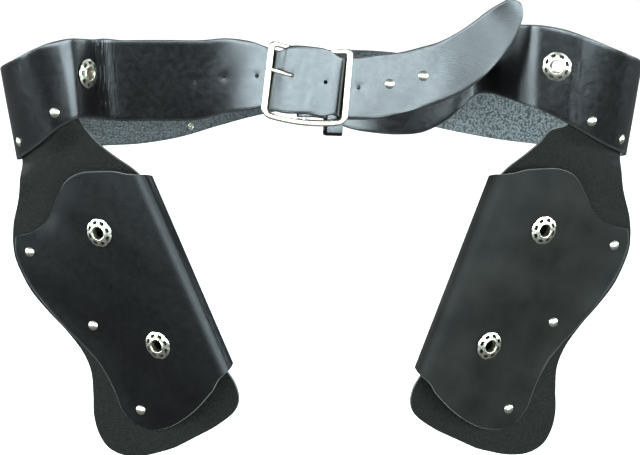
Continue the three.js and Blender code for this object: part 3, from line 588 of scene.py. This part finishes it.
def slab(surface, lines, columns, thickness, edge, faced, relief):
    """A sheet of leather with rounded edges. surface(a, b) is its middle and lines are its
    places along a. faced is 1 where its outer face is on the side of its normal, else -1.
    Its materials are outer face, inner face and cut edge."""
    near = edge * EDGE_TURN
    rows = []
    for end, inner in ((0.0, 1e-3), (1.0, -1e-3)):
        middle = surface(np.array([end, end + inner]), np.array([0.5, 0.5]))
        rows.append(end + inner * near / np.linalg.norm(middle[1] - middle[0]))
    start, stop = rows[0], rows[1][::-1]
    core = lines[(lines > start[-1] + 1e-5) & (lines < stop[0] - 1e-5)]
    a = np.concatenate([start, core, stop])
    ends = np.full(len(a), edge)
    ends[:EDGE_ROWS], ends[-EDGE_ROWS:] = near, near[::-1]
    samples = np.tile(np.linspace(0, 1, WIDTH_SAMPLES), len(a))
    grid = surface(np.repeat(a, WIDTH_SAMPLES), samples).reshape(len(a), WIDTH_SAMPLES, 3)
    width = np.linalg.norm(np.diff(grid, axis=1), axis=2).sum(axis=1)
    inner = np.linspace(0, 1, columns)[1:-1]
    b = np.concatenate([
        near[None, :] / width[:, None],
        edge / width[:, None] + inner[None, :] * (1 - 2 * edge / width[:, None]),
        1 - near[None, ::-1] / width[:, None],
    ], axis=1)
    gaps = np.minimum(b, 1 - b) * width[:, None]
    n_a, n_b = b.shape
    flat_a, flat_b = np.repeat(a, n_b), b.ravel()
    points = surface(flat_a, flat_b)
    normal = normals(surface, flat_a, flat_b) * faced
    close = np.minimum(np.minimum(gaps, ends[:, None]), edge).ravel()
    rise = thickness / 2 - edge + np.sqrt(np.maximum(edge ** 2 - (edge - close) ** 2, 0))
    outer_relief, inner_relief = relief(flat_a, flat_b, points)
    fade = np.clip(gaps.ravel() / (2 * edge), 0, 1) * (close / edge)
    outer = rise + outer_relief * fade
    inside = rise + inner_relief * fade
    vertices = np.concatenate([points + normal * outer[:, None], points - normal * inside[:, None]])
    k = (np.arange(n_a - 1)[:, None] * n_b + np.arange(n_b - 1)[None, :]).ravel()
    top = np.stack([k, k + n_b, k + n_b + 1, k + 1], axis=1)
    layer = n_a * n_b
    bottom = top[:, ::-1] + layer
    rim = np.concatenate([
        np.arange(n_b - 1), np.arange(1, n_a) * n_b - 1,
        (n_a - 1) * n_b + np.arange(n_b - 1, 0, -1), np.arange(n_a - 1, 0, -1) * n_b,
    ])
    ahead = np.roll(rim, -1)
    band = np.stack([rim, ahead, ahead + layer, rim + layer], axis=1)
    faces = np.concatenate([top, bottom, band])
    if faced < 0:
        faces = faces[:, ::-1]
    i, j = k // n_b, k % n_b
    turned = EDGE_ROWS - 2
    at_edge = (i < turned) | (i > n_a - EDGE_ROWS) | (j < turned) | (j > n_b - EDGE_ROWS)
    sides = np.concatenate([np.where(at_edge, 2, 0), np.where(at_edge, 2, 1), np.full(len(band), 2)])
    wear = np.exp(-np.minimum(gaps.ravel(), WEAR_END) / WEAR_REACH)
    return vertices, faces, sides, np.concatenate([wear, wear])


def lathe(profile, segments, reshape=None):
    """A closed profile of (radius, height) turned round Z, as vertices and faces."""
    vertices, rings = [], []
    turn = 2 * math.pi * np.arange(segments) / segments
    for radius, height in profile:
        if radius < 1e-6:
            rings.append([len(vertices)] * segments)
            vertices.append((0.0, 0.0, height))
            continue
        rings.append(list(range(len(vertices), len(vertices) + segments)))
        scale = reshape(radius, turn) if reshape else np.ones(segments)
        ring = radius * scale
        vertices.extend(zip(ring * np.sin(turn), ring * np.cos(turn), [height] * segments))
    faces = []
    closed = profile[0][0] > 1e-6
    pairs = list(zip(rings, rings[1:])) + ([(rings[-1], rings[0])] if closed else [])
    for low, high in pairs:
        for i in range(segments):
            j = (i + 1) % segments
            corners = [low[i], low[j], high[j], high[i]]
            face = [c for n, c in enumerate(corners) if c not in corners[:n]]
            if len(face) > 2:
                faces.append(face)
    return np.array(vertices), faces


def stood(vertices, point, outward):
    """Turned with their Z along outward, and put at a point."""
    turn = Vector((0, 0, 1)).rotation_difference(Vector(outward)).to_matrix()
    return np.asarray(vertices) @ np.array(turn).T + point


def pins(places, radius, length, segments=32):
    """Cutters standing through leather, one closed prism at each (point, outward)."""
    vertices, faces = [], []
    turn = 2 * math.pi * np.arange(segments) / segments
    ring = np.stack([radius * np.cos(turn), radius * np.sin(turn)], axis=1)
    for point, outward in places:
        start = sum(len(v) for v in vertices)
        low = np.column_stack([ring, np.full(segments, -length / 2)])
        high = np.column_stack([ring, np.full(segments, length / 2)])
        vertices.append(stood(np.concatenate([low, high]), point, outward))
        faces.append([start + i for i in reversed(range(segments))])
        faces.append([start + segments + i for i in range(segments)])
        for i in range(segments):
            j = (i + 1) % segments
            faces.append([start + i, start + j, start + segments + j, start + segments + i])
    return np.concatenate(vertices), faces


def cut_out(made, materials, *groups):
    """Each group of cutters taken out. The cut faces get the last material."""
    for vertices, faces in groups:
        tool = make_object("cutter", vertices, faces, materials, [len(materials) - 1] * len(faces))
        boolean(made, tool, "DIFFERENCE")


def leaned(vertices, at):
    """Something built square to the buckle, leaned back with it and put in its place."""
    turn = np.array(Matrix.Rotation(-LEAN, 3, "X"))
    return vertices @ turn.T + np.array(at)


# Strap

def wave(x, *terms):
    """A sum of waves, each of (size, length, start)."""
    return sum(size * np.sin(2 * math.pi * x / length + start) for size, length, start in terms)


def window(x, middle, reach):
    """A bell curve: 1 at its middle."""
    return np.exp(-((x - middle) / reach) ** 2)


HOLE_CENTRES = [strap_place(station, up)[0][0] for station, up in BUCKLE_HOLES]

# Where the strap is creased: the middle and reach in stations, and how strongly
CREASES = ((22.6, 1.1, 1.0), (54.4, 1.2, 0.7), (59.5, 1.5, 0.4))
CREASE_DEPTH = 0.16
DISH_DEPTH = 0.32
DISH_REACH = 3.2

# About how far apart stations are, and the strap's width, for waves that run along it
STATION_RUN = 16.5
STRAP_W = 60.0

# Lines across the strap: from a station to the next one, and how many
STRAP_LINES = ((0, 6, 90), (6, 26, 380), (26, 50, 230), (50, STRAP_LAST, 330))
STRAP_COLUMNS = 24
STRAP_EDGE = 0.9


def strap_relief(a, b, points):
    """Creases where the strap bends sharply, dished leather round its holes, slight waves."""
    station = a * STRAP_LAST
    run = station * STATION_RUN
    up = (b - 0.5) * STRAP_W
    bent = sum(share * window(station, middle, reach) for middle, reach, share in CREASES)
    lines = run + wave(up, (1.1, 31, 0.4), (0.5, 13, 2.0))
    crease = CREASE_DEPTH * bent * wave(lines, (1, 3.4, 0), (0.6, 2.3, 1.1), (0.5, 7.1, 2.2))
    broad = wave(run + 0.4 * up, (0.16, 61, 0.3), (0.08, 27, 1.7)) * np.cos(up / 23 + run / 90)
    dish = np.zeros(len(a))
    for centre in HOLE_CENTRES:
        dish -= DISH_DEPTH * window(np.linalg.norm(points - centre, axis=1), 0, DISH_REACH)
    return crease + broad + dish, np.abs(crease) * 0.5


def through(station, up, offset=0.0):
    """One place on the strap for a cutter or a fastener, as (point, outward)."""
    point, outward = strap_place(station, up, offset)
    return point[0], outward[0]


def neck_posts(side):
    """The places of a holster's rivets through the strap."""
    return [through(station, above - strap_half(station)) for _, station, above in side["rivets"]]


def make_strap():
    stretches = [
        np.linspace(low, high, count, endpoint=(high == STRAP_LAST)) for low, high, count in STRAP_LINES
    ]
    lines = np.concatenate(stretches) / STRAP_LAST
    parts = slab(strap_surface, lines, STRAP_COLUMNS, STRAP_T, STRAP_EDGE, -1, strap_relief)
    materials = (BELT_FACE, FLESH, STRAP_CUT)
    made = make_object("strap_leather", parts[0], parts[1], materials, parts[2], parts[3])
    holes = [through(station, up) for station, up in BUCKLE_HOLES]
    posts = [through(station, up) for _, station, up in (*TONGUE_RIVETS, BACK_RIVET)]
    posts += [post for side in SIDES for post in neck_posts(side)]
    barrels = [through(station, up) for _, station, up in BELT_CONCHOS]
    chape = [through(CHAPE_STATION, up, -CHAPE_STACK / 2) for _, up in CHAPE_RIVETS]
    bar = leaned(np.array([[0, BAR_BACK, 0]]), FRAME_AT)[0]
    along_bar = np.array(Matrix.Rotation(-LEAN, 3, "X")) @ np.array((0, 0, 1))
    cut_out(
        made, materials,
        pins(holes, HOLE_R, SHEET_PIN), pins(posts, POST_R + HOLE_CLEAR, SHEET_PIN),
        pins(barrels, CONCHO_BARREL_R + HOLE_CLEAR, LEATHER_PIN),
        pins(chape, POST_R + HOLE_CLEAR, CHAPE_PIN), pins([(bar, along_bar)], SLOT_R, SLOT_H, 48),
    )
    smooth(made)
    hand_over(made, "belt_strap")


# Holsters

SKIRT_EDGE = 0.7
PANEL_LINES, PANEL_COLUMNS = 230, 70
POUCH_LINES, POUCH_COLUMNS = 150, 110


def skirt_relief(a, b, points):
    """Soft waves in a back panel, which stays one thickness."""
    soft = wave(points[:, 0] * 0.7 + points[:, 2], (0.35, 74, 0.4), (0.2, 41, 1.9))
    return soft, -soft


def pouch_relief(a, b, points):
    """Soft waves in a pouch's front, none in its fold."""
    soft = wave(points[:, 2] + 0.5 * points[:, 0], (0.3, 83, 1.1), (0.14, 37, 0.2))
    soft *= np.clip(3 * b - 0.4, 0, 1)
    return soft, -soft


def leather_sheet(name, surface, lines, columns, materials, facing, relief):
    """A holster's sheet, its outer face the way the holster faces."""
    middle = np.array([0.6]), np.array([0.6])
    sign = 1 if normals(surface, *middle)[0] @ facing > 0 else -1
    parts = slab(surface, np.linspace(0, 1, lines), columns, SKIRT_T, SKIRT_EDGE, sign, relief)
    return make_object(name, parts[0], parts[1], materials, parts[2], parts[3])


def make_holster(side):
    facing = holster_place(side, 0, 0)[1]
    # The pouch colour for this side: on the right pouch it carries painted light.
    face = POUCH_FACE_WITH_PAINTED_LIGHT[side["name"]]
    edge_posts = []
    for name, u, v in POUCH_RIVETS:
        point, _, lift = pouch_place(side, u, v)
        point = point + facing * CAP_LIFT
        edge_posts.append((point, facing))
        rivet(f"{name}_{side['name']}", point, facing, lift + SKIRT_T + CAP_LIFT)
    barrels = []
    for name, u, v in POUCH_CONCHOS:
        point, outward, _ = pouch_place(side, u, v)
        barrels.append((point, outward))
        concho(f"concho_{name}_{side['name']}", point, outward, SKIRT_T)
    for name, station, above in side["rivets"]:
        point, outward = through(station, above - strap_half(station), STRAP_T / 2)
        rivet(name, point, outward, STRAP_T + NECK_GAP + SKIRT_T + NECK_GAP)

    materials = (SKIRT, face, CUT)
    made = leather_sheet(
        f"holster_back_leather_{side['name']}", panel_surface(side), PANEL_LINES, PANEL_COLUMNS,
        materials, facing, skirt_relief,
    )
    cut_out(made, materials, pins(neck_posts(side) + edge_posts, POST_R + HOLE_CLEAR, POUCH_PIN))
    smooth(made)
    hand_over(made, f"holster_back_{side['name']}")

    materials = (face, SKIRT, CUT)
    made = leather_sheet(
        f"holster_pouch_leather_{side['name']}", pouch_surface(side), POUCH_LINES, POUCH_COLUMNS,
        materials, facing, pouch_relief,
    )
    cut_out(
        made, materials, pins(edge_posts, POST_R + HOLE_CLEAR, POUCH_PIN),
        pins(barrels, CONCHO_BARREL_R + HOLE_CLEAR, LEATHER_PIN),
    )
    smooth(made)
    hand_over(made, f"holster_pouch_{side['name']}")


# Buckle, prong and keeper

def tube(path, across, out, section):
    """A closed loop of sections: section gives (reach along out, reach along across)."""
    vertices = []
    for here, side_way, out_way in zip(path, across, out):
        vertices.append(here + section[:, :1] * out_way + section[:, 1:] * side_way)
    n, m = len(path), len(section)
    faces = []
    for i in range(n):
        for j in range(m):
            k = (j + 1) % m
            nxt = (i + 1) % n
            faces.append([i * m + j, i * m + k, nxt * m + k, nxt * m + j])
    return np.concatenate(vertices), faces


def rounded_loop(half_w, half_h, corner, straight, turns):
    """Points and outward directions round a rectangle with rounded corners, counterclockwise."""
    points, out = [], []
    middles = ((1, 1), (-1, 1), (-1, -1), (1, -1))
    for n, (sx, sy) in enumerate(middles):
        centre = np.array((sx * (half_w - corner), sy * (half_h - corner)))
        for t in np.linspace(0, math.pi / 2, turns):
            way = np.array((math.cos(n * math.pi / 2 + t), math.sin(n * math.pi / 2 + t)))
            points.append(centre + corner * way)
            out.append(way)
        after = middles[(n + 1) % 4]
        goal = np.array((after[0] * (half_w - corner), after[1] * (half_h - corner))) + corner * way
        for t in np.linspace(0, 1, straight + 2)[1:-1]:
            points.append(centre + corner * way + t * (goal - centre - corner * way))
            out.append(way)
    return np.array(points), np.array(out)


BAR_SIDES = 24
BAR_SQUARED = 0.8
PRONG_STEPS = 130
PRONG_SIDES = 20


def make_frame():
    """The frame: its bar swept round a rounded rectangle, joined to the middle bar, then bowed."""
    half_w, half_h = (FRAME_W - FRAME_BAR) / 2, (FRAME_H - FRAME_BAR) / 2
    loop, out = rounded_loop(half_w, half_h, FRAME_CORNER, 14, 9)
    turn = 2 * math.pi * np.arange(BAR_SIDES) / BAR_SIDES
    reach = np.sign(np.cos(turn)) * np.abs(np.cos(turn)) ** BAR_SQUARED * FRAME_BAR / 2
    depth = np.sign(np.sin(turn)) * np.abs(np.sin(turn)) ** BAR_SQUARED * FRAME_DEPTH / 2
    path = np.column_stack([loop[:, 0], np.zeros(len(loop)), loop[:, 1]])
    outward = np.column_stack([out[:, 0], np.zeros(len(loop)), out[:, 1]])
    backward = np.tile((0.0, 1.0, 0.0), (len(loop), 1))
    vertices, faces = tube(path, backward, outward, np.column_stack([reach, depth]))
    bar_v, bar_f = pins([(np.array((0, BAR_BACK, 0)), np.array((0, 0, 1)))], BAR_R, 2 * half_h, 28)
    ring = make_object("buckle", vertices, faces, (NICKEL,))
    boolean(ring, make_object("bar", bar_v, bar_f, (NICKEL,)), "UNION")
    mesh = ring.data
    points = np.empty(3 * len(mesh.vertices))
    mesh.vertices.foreach_get("co", points)
    points = points.reshape(-1, 3) / MM
    fall = FRAME_BOW * (1 - np.minimum((points[:, 0] / half_w) ** 2, 1))
    share = np.minimum(np.abs(points[:, 2]) / half_h, 1)
    points[:, 0] *= 1 - FRAME_FLARE * points[:, 2] / half_h
    points[:, 2] -= fall * share
    roll = np.array(Matrix.Rotation(FRAME_ROLL, 3, "Y"))
    points = leaned(points @ roll.T, FRAME_AT)
    mesh.vertices.foreach_set("co", (points * MM).ravel())
    mesh.update()
    smooth(ring)
    hand_over(ring, "buckle_frame")


def make_prong():
    """The prong: a rod curled round the middle bar and laid over the left one, its ends rounded."""
    curl = BAR_R + PRONG_R + CLEAR
    turn = np.radians(PRONG_CURL)
    round_bar = np.column_stack([curl * np.cos(turn), BAR_BACK + curl * np.sin(turn), np.zeros(len(turn))])
    knots = np.concatenate([round_bar, np.array(PRONG, float)])[:, None, :]
    t = np.linspace(0, 1, PRONG_STEPS)
    path = smooth_curve(knots, t)
    ahead, behind = np.minimum(t + 1e-3, 1), np.maximum(t - 1e-3, 0)
    along = unit(smooth_curve(knots, ahead) - smooth_curve(knots, behind))
    run = np.concatenate([[0], np.cumsum(np.linalg.norm(np.diff(path, axis=0), axis=1))])
    left = np.minimum(run, run[-1] - run)
    radius = PRONG_R * np.sqrt(np.clip(1 - (1 - np.minimum(left / PRONG_R, 1)) ** 2, 0.02, 1))
    turn = 2 * math.pi * np.arange(PRONG_SIDES) / PRONG_SIDES
    way = np.array((0.0, 0.0, 1.0))
    vertices = []
    for here, forward, size in zip(path, along, radius):
        way = unit(way - forward * (way @ forward))
        over = np.cross(forward, way)
        vertices.append(here + size * (np.cos(turn)[:, None] * way + np.sin(turn)[:, None] * over))
    end = PRONG_SIDES * (PRONG_STEPS - 1)
    faces = [list(reversed(range(PRONG_SIDES))), list(range(end, end + PRONG_SIDES))]
    for here in range(0, end, PRONG_SIDES):
        for j in range(PRONG_SIDES):
            k = (j + 1) % PRONG_SIDES
            after = here + PRONG_SIDES
            faces.append([here + j, here + k, after + k, after + j])
    made = make_object("prong", leaned(np.concatenate(vertices), FRAME_AT), faces, (NICKEL,))
    smooth(made)
    hand_over(made, "buckle_prong")


KEEPER_CORNER = 2.6
KEEPER_EDGE = 0.4


def make_keeper():
    """The keeper: a flat band with rounded edges swept round a rounded rectangle."""
    half_d, half_t = (KEEPER_DEEP + KEEPER_WALL) / 2, (KEEPER_TALL + KEEPER_WALL) / 2
    loop, out = rounded_loop(half_d, half_t, KEEPER_CORNER, 10, 7)
    path = np.column_stack([np.zeros(len(loop)), loop])
    outward = np.column_stack([np.zeros(len(loop)), out])
    sideways = np.tile((-1.0, 0.0, 0.0), (len(loop), 1))
    r, half_l, half_w = KEEPER_EDGE, KEEPER_LONG / 2, KEEPER_WALL / 2
    section = []
    for n, (sx, sy) in enumerate(((1, 1), (-1, 1), (-1, -1), (1, -1))):
        for t in np.linspace(0, math.pi / 2, 4):
            angle = n * math.pi / 2 + t
            middle = (sx * (half_w - r), sy * (half_l - r))
            section.append((middle[0] + r * math.cos(angle), middle[1] + r * math.sin(angle)))
    vertices, faces = tube(path, sideways, outward, np.array(section))
    turn = np.array(Matrix.Rotation(KEEPER_ROLL, 3, "Y") @ Matrix.Rotation(KEEPER_YAW, 3, "Z"))
    made = make_object("keeper", leaned(vertices @ turn.T, KEEPER_AT), faces, (BELT_FACE,))
    smooth(made)
    hand_over(made, "keeper_loop")


# Rivets and conchos

def arc(centre, radius, start, stop, steps):
    """Points of an arc in a profile, angles in degrees from the radius direction."""
    turn = np.radians(np.linspace(start, stop, steps))
    return [(centre[0] + radius * math.cos(t), centre[1] + radius * math.sin(t)) for t in turn]


def rivet(name, point, outward, stack):
    """A domed cap on its post, with a rolled tubular burr below the leather."""
    under = -(stack + CLEAR)
    base = 0.12
    top = CAP_H + CLEAR
    sphere = (CAP_R ** 2 + CAP_H ** 2) / (2 * CAP_H)
    lean = np.linspace(0.94 * math.asin(CAP_R / sphere), 0, 12)
    dome = [(sphere * math.sin(t), top + sphere * (math.cos(t) - 1)) for t in lean]
    roll = BURR_H / 2
    burr = arc((BURR_R - roll, under - roll), roll, 90, -180, 12)
    profile = [
        (0.0, under + 0.9), (1.1, under + 0.9), (1.35, under - 0.2),
        (1.6, under - 0.5), *reversed(burr), (POST_R, under), (POST_R, base), (CAP_R - 0.15, base),
        (CAP_R, base + 0.16), *dome[:-1], (0.0, top),
    ]
    vertices, faces = lathe(profile, 32)
    made = make_object(f"{name}_head", stood(vertices, point, outward), faces, (NICKEL,))
    smooth(made, 50)
    hand_over(made, name)


def concho(name, point, outward, stack):
    """A domed ring with a scalloped edge, a raised rim round its barrel and slots cut through."""
    under = -(stack + CLEAR)
    base = 0.1
    lip = (CONCHO_R - 0.35, base + 0.45)
    rise = CONCHO_H - 0.35
    outer = []
    for t in np.linspace(0, 1, 12):
        r = lip[0] + (CONCHO_RIM_R + 0.25 - lip[0]) * t
        outer.append((r, lip[1] + 0.35 + (rise - lip[1] - 0.35) * math.sin(t * math.pi / 2)))
    rim = arc((CONCHO_RIM_R - 0.55, rise + 0.05), 0.62, 10, 170, 9)
    profile = [
        (CONCHO_BARREL_R, under), (CONCHO_BARREL_R, base + 0.9), (CONCHO_R - 1.2, base),
        *arc(lip, 0.42, -80, 80, 7), *outer[1:-1], *rim, (CONCHO_HOLE_R, rise - 0.4),
        (CONCHO_HOLE_R, under + 0.3), (CONCHO_HOLE_R + 0.25, under),
    ]

    def scallop(radius, turn):
        share = np.clip((radius - CONCHO_RIM_R) / (CONCHO_R - CONCHO_RIM_R), 0, 1) ** 2
        notch = (1 - np.abs(np.cos(CONCHO_SLOTS / 2 * turn))) ** 1.5
        return 1 - share * CONCHO_SCALLOP * notch

    vertices, faces = lathe(profile, 12 * CONCHO_SLOTS, scallop)
    made = make_object(f"{name}_ring", vertices, faces, (NICKEL,))
    ends = SLOT_WIDE / 2
    cutters, sides = [], []
    outline = arc(((SLOT_LONG / 2 - ends), SLOT_OUT), ends, -90, 90, 9)
    outline += arc((-(SLOT_LONG / 2 - ends), SLOT_OUT), ends, 90, 270, 9)
    count = len(outline)
    for n in range(CONCHO_SLOTS):
        turn = Matrix.Rotation(2 * math.pi * n / CONCHO_SLOTS, 2)
        flat = np.array(outline) @ np.array(turn).T
        start = 2 * n * count
        cutters.append(np.column_stack([flat, np.full(count, -0.2)]))
        cutters.append(np.column_stack([flat, np.full(count, CONCHO_H + 1)]))
        sides.append([start + i for i in reversed(range(count))])
        sides.append([start + count + i for i in range(count)])
        for i in range(count):
            j = (i + 1) % count
            sides.append([start + i, start + j, start + count + j, start + count + i])
    cut_out(made, (NICKEL,), (np.concatenate(cutters), sides))
    turn = Vector((0, 0, 1)).rotation_difference(Vector(outward)).to_matrix().to_4x4()
    made.data.transform(Matrix.Translation(Vector(point) * MM) @ turn)
    smooth(made, 35)
    hand_over(made, name)


make_strap()
for belt_side in SIDES:
    make_holster(belt_side)
make_frame()
make_prong()
make_keeper()
for rivet_name, station, up in (*TONGUE_RIVETS, BACK_RIVET):
    rivet(rivet_name, *through(station, up, STRAP_T / 2), STRAP_T)
for rivet_name, up in CHAPE_RIVETS:
    rivet(rivet_name, *through(CHAPE_STATION, up, STRAP_T / 2), CHAPE_STACK)
for concho_name, station, up in BELT_CONCHOS:
    concho(concho_name, *through(station, up, STRAP_T / 2), STRAP_T + NECK_GAP)


# Floor, lights and camera

def make_floor():
    turn = 2 * math.pi * np.arange(64) / 64
    ring = np.column_stack([FLOOR_R * np.cos(turn), FLOOR_R * np.sin(turn), np.full(64, FLOOR_Z)]) / MM
    floor = make_object("floor", ring, [list(range(64))], (pale_floor("pale_floor"),))
    floor.visible_glossy = False


def area_light(name, azimuth, elevation, distance, size, power, colour):
    """A soft box aimed at the belt. Azimuth 0 is from the viewer's side, positive to the right."""
    a, e = math.radians(azimuth), math.radians(elevation)
    way = Vector((math.sin(a) * math.cos(e), -math.cos(a) * math.cos(e), math.sin(e)))
    lamp = bpy.data.lights.new(name, "AREA")
    lamp.shape = "RECTANGLE"
    lamp.size, lamp.size_y = size
    lamp.energy = power
    lamp.color = colour
    made = bpy.data.objects.new(name, lamp)
    made.location = way * distance
    made.rotation_euler = way.to_track_quat("Z", "Y").to_euler()
    bpy.context.scene.collection.objects.link(made)


# Colours of the lights
DAYLIGHT = (0.76, 0.93, 1.0)
SKYLIGHT = (0.72, 0.88, 1.0)
PALE_GREEN = (0.95, 1.0, 0.95)
WHITE = (1.0, 1.0, 1.0)

# Each light's azimuth, elevation, distance in metres, width and height, watts and colour
LIGHTS = {
    "front_box_0": (-46, 15.5, 2.2, (1.35, 0.62), 48, DAYLIGHT),
    "front_box_1": (-12, 15.5, 2.2, (1.35, 0.62), 48, DAYLIGHT),
    "front_box_2": (22, 15.5, 2.2, (1.35, 0.62), 48, DAYLIGHT),
    "front_box_3": (56, 15.5, 2.2, (1.35, 0.62), 48, DAYLIGHT),
    "left_box": (-84, 3, 2.3, (1.1, 1.0), 62, DAYLIGHT),
    "right_box": (98, -1, 2.3, (0.9, 0.6), 30, DAYLIGHT),
    "low_strip": (40, 2.5, 2.2, (1.7, 0.3), 26, DAYLIGHT),
    "edge_box": (132, 14, 2.4, (0.5, 0.9), 16, SKYLIGHT),
    "rim_box": (-135, 5, 2.6, (0.9, 1.2), 22, PALE_GREEN),
    "top_box": (170, 62, 2.6, (1.6, 1.2), 40, WHITE),
}
SUN_POWER = 3.0
SUN_ANGLE = math.radians(30)
SUN_TILT = math.radians(-35)
WORLD_COLOUR = (0.9, 0.95, 1.0)
WORLD_POWER = 0.2


def make_lights():
    """A wide band of daylight in front, boxes for the edges, and a sun that whitens the floor."""
    for name, values in LIGHTS.items():
        area_light(name, *values)
    sun = bpy.data.lights.new("floor_sun", "SUN")
    sun.energy = SUN_POWER
    sun.angle = SUN_ANGLE
    made = bpy.data.objects.new("floor_sun", sun)
    made.rotation_euler = (SUN_TILT, 0, 0)
    bpy.context.scene.collection.objects.link(made)
    world = bpy.data.worlds.new("studio")
    world.use_nodes = True
    background = world.node_tree.nodes["Background"]
    background.inputs["Color"].default_value = (*WORLD_COLOUR, 1)
    background.inputs["Strength"].default_value = WORLD_POWER
    bpy.context.scene.world = world


def make_camera():
    lens = bpy.data.cameras.new("camera")
    lens.lens = CAMERA_LENS
    lens.sensor_width = 36
    camera = bpy.data.objects.new("camera", lens)
    camera.location = CAMERA_AT
    camera.rotation_euler = (math.pi / 2 - CAMERA_PITCH, 0, 0)
    bpy.context.scene.collection.objects.link(camera)
    bpy.context.scene.camera = camera


make_floor()
make_lights()
make_camera()
bpy.context.scene.view_settings.view_transform = "Standard"
